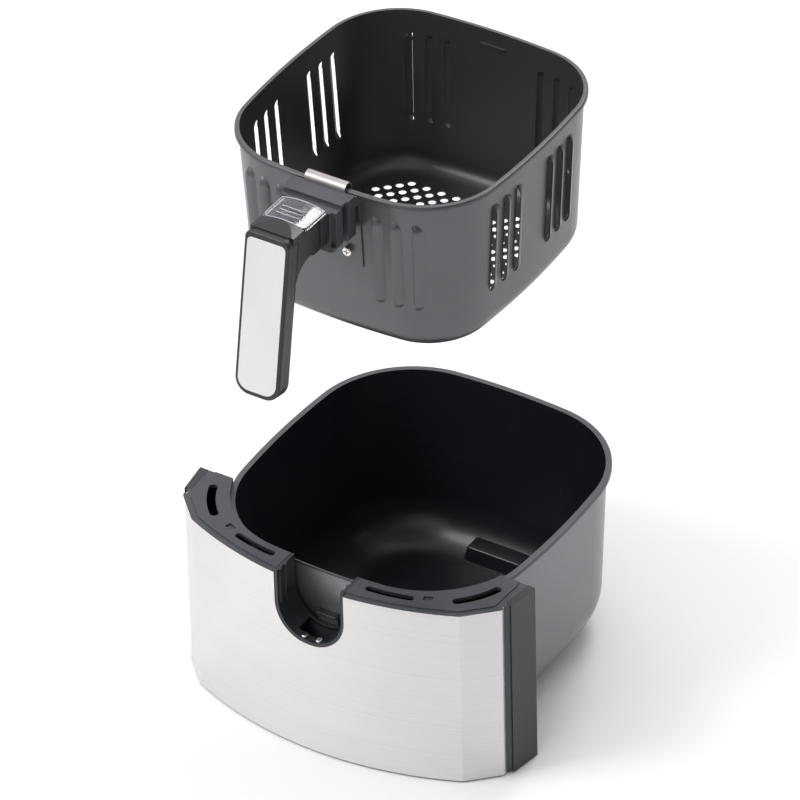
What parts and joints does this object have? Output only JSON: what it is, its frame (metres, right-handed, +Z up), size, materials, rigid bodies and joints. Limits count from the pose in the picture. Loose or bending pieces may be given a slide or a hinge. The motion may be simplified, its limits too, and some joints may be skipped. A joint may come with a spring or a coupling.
{
  "type": "air fryer",
  "caption": "Air fryer drawer with a curved steel front and a lift-out perforated frying basket on a grip handle with a guarded release button.",
  "frame": {"origin": "centre of the pan's flat base, on the surface the drawer stands on", "axes": "+Z up, the way the basket lifts out; -Y to the front, where the steel panel and the grip are; +X right as seen from the front"},
  "size_m": [0.2826, 0.3352, 0.4737],
  "materials": {
    "nonstick_pan": "satin non-stick coating",
    "nonstick_basket": "satin grey non-stick coating",
    "brushed_steel_skin": "fine horizontal brushing",
    "black_plastic": "fine moulded texture",
    "trim_plastic": "satin moulded",
    "grip_plastic": "satin moulded",
    "button_plastic": "satin moulded",
    "clear_plastic": "clear moulded polycarbonate",
    "plain_steel": "plain pressed sheet",
    "spring_steel": "drawn wire",
    "bright_screw": "bright plated"
  },
  "bodies": {
    "drawer": {"drawer_pan": "nonstick_pan", "front_steel_skin": "brushed_steel_skin", "front_carrier": "black_plastic", "carrier_back": "black_plastic", "side_trim_right": "trim_plastic", "side_trim_left": "trim_plastic", "notch_liner": "black_plastic", "liner_screws": "bright_screw", "pan_screws": "bright_screw", "pan_catch": "plain_steel"},
    "basket": {"basket_wall": "nonstick_basket", "basket_floor": "nonstick_basket", "bracket_plate": "nonstick_basket", "rim_hook": "plain_steel", "bracket_screws": "bright_screw", "bracket_nuts": "bright_screw", "base_block": "black_plastic", "arm_collar": "black_plastic", "collar_screw": "bright_screw", "handle_shell": "grip_plastic", "grip_front_shell": "grip_plastic", "grip_insert": "brushed_steel_skin", "grip_screws": "bright_screw", "button_spring": "spring_steel"},
    "guard": {"button_guard": "clear_plastic"},
    "button": {"release_button": "button_plastic"},
    "latch": {"latch_slider": "black_plastic"}
  },
  "joints": [
    {"name": "basket_lift", "type": "slide", "parent": "drawer", "child": "basket", "axis": [0, 0, 1], "range_m": [-0.322, 0]},
    {"name": "guard_slide", "type": "slide", "parent": "basket", "child": "guard", "axis": [0, 1, 0], "range_m": [0, 0.008]},
    {"name": "button_press", "type": "slide", "parent": "basket", "child": "button", "axis": [0, 0, -1], "range_m": [0, 0.003], "stiffness_N_per_m": 400, "springref_m": -0.001, "deforming": ["button_spring"]},
    {"name": "latch_slide", "type": "slide", "parent": "basket", "child": "latch", "axis": [0, -1, 0], "range_m": [0, 0.003]}
  ],
  "couplings": [
    {"joint": "latch_slide", "follows": "button_press", "ratio": 1}
  ]
}
